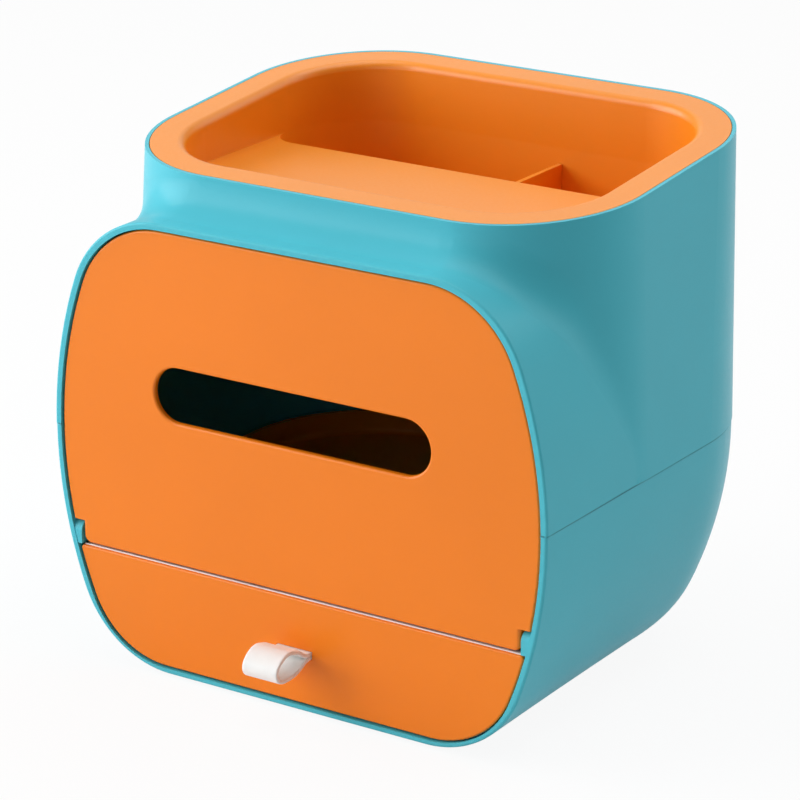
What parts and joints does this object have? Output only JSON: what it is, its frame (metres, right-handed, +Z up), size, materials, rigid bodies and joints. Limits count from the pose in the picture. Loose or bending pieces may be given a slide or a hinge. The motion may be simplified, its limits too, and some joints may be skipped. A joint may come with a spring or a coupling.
{
  "type": "desk organizer",
  "caption": "Desktop organizer with a hinged tissue door, a pull-out drawer below it and a lift-out two-level top tray with a divider.",
  "frame": {"origin": "centre of the overall depth and width, on the desk plane under the feet", "axes": "+Z up, -Y towards the door and drawer, +X to the right seen from the front"},
  "size_m": [0.2056, 0.1896, 0.1942],
  "materials": {
    "teal": "satin moulded plastic",
    "orange": "satin moulded plastic",
    "orange_tray": "satin moulded plastic",
    "orange_inside": "satin moulded plastic",
    "white_drawer": "satin moulded plastic",
    "white_clamp": "moulded plastic",
    "tab": "soft white band, matte",
    "steel": "zinc plated",
    "foot": "matte"
  },
  "bodies": {
    "housing": {"upper_shell": "teal", "lower_shell": "teal", "shell_screws": "steel", "deck": "orange_inside", "deck_screws": "steel", "foot_front_left": "foot", "foot_front_right": "foot", "foot_rear_left": "foot", "foot_rear_right": "foot"},
    "door": {"front_door": "orange", "hinge_pin_right": "steel", "hinge_pin_left": "steel"},
    "drawer": {"drawer_front": "orange", "drawer_box": "white_drawer", "drawer_screws": "steel", "pull_tab": "tab", "tab_clamp": "white_clamp", "tab_screws": "steel"},
    "tray": {"top_tray": "orange_tray"},
    "divider": {"tray_divider": "orange_tray"}
  },
  "joints": [
    {"name": "door_hinge", "type": "hinge", "parent": "housing", "child": "door", "pos_m": [0, -0.07043, 0.0474], "axis": [1, 0, 0], "range_deg": [0, 90]},
    {"name": "drawer_slide", "type": "slide", "parent": "housing", "child": "drawer", "axis": [0, -1, 0], "range_m": [0, 0.104]},
    {"name": "tray_lift", "type": "slide", "parent": "housing", "child": "tray", "axis": [0, -0.0854, 0.9963], "range_m": [0, 0.075]},
    {"name": "divider_lift", "type": "slide", "parent": "tray", "child": "divider", "axis": [0, 0, 1], "range_m": [0, 0.065]}
  ]
}
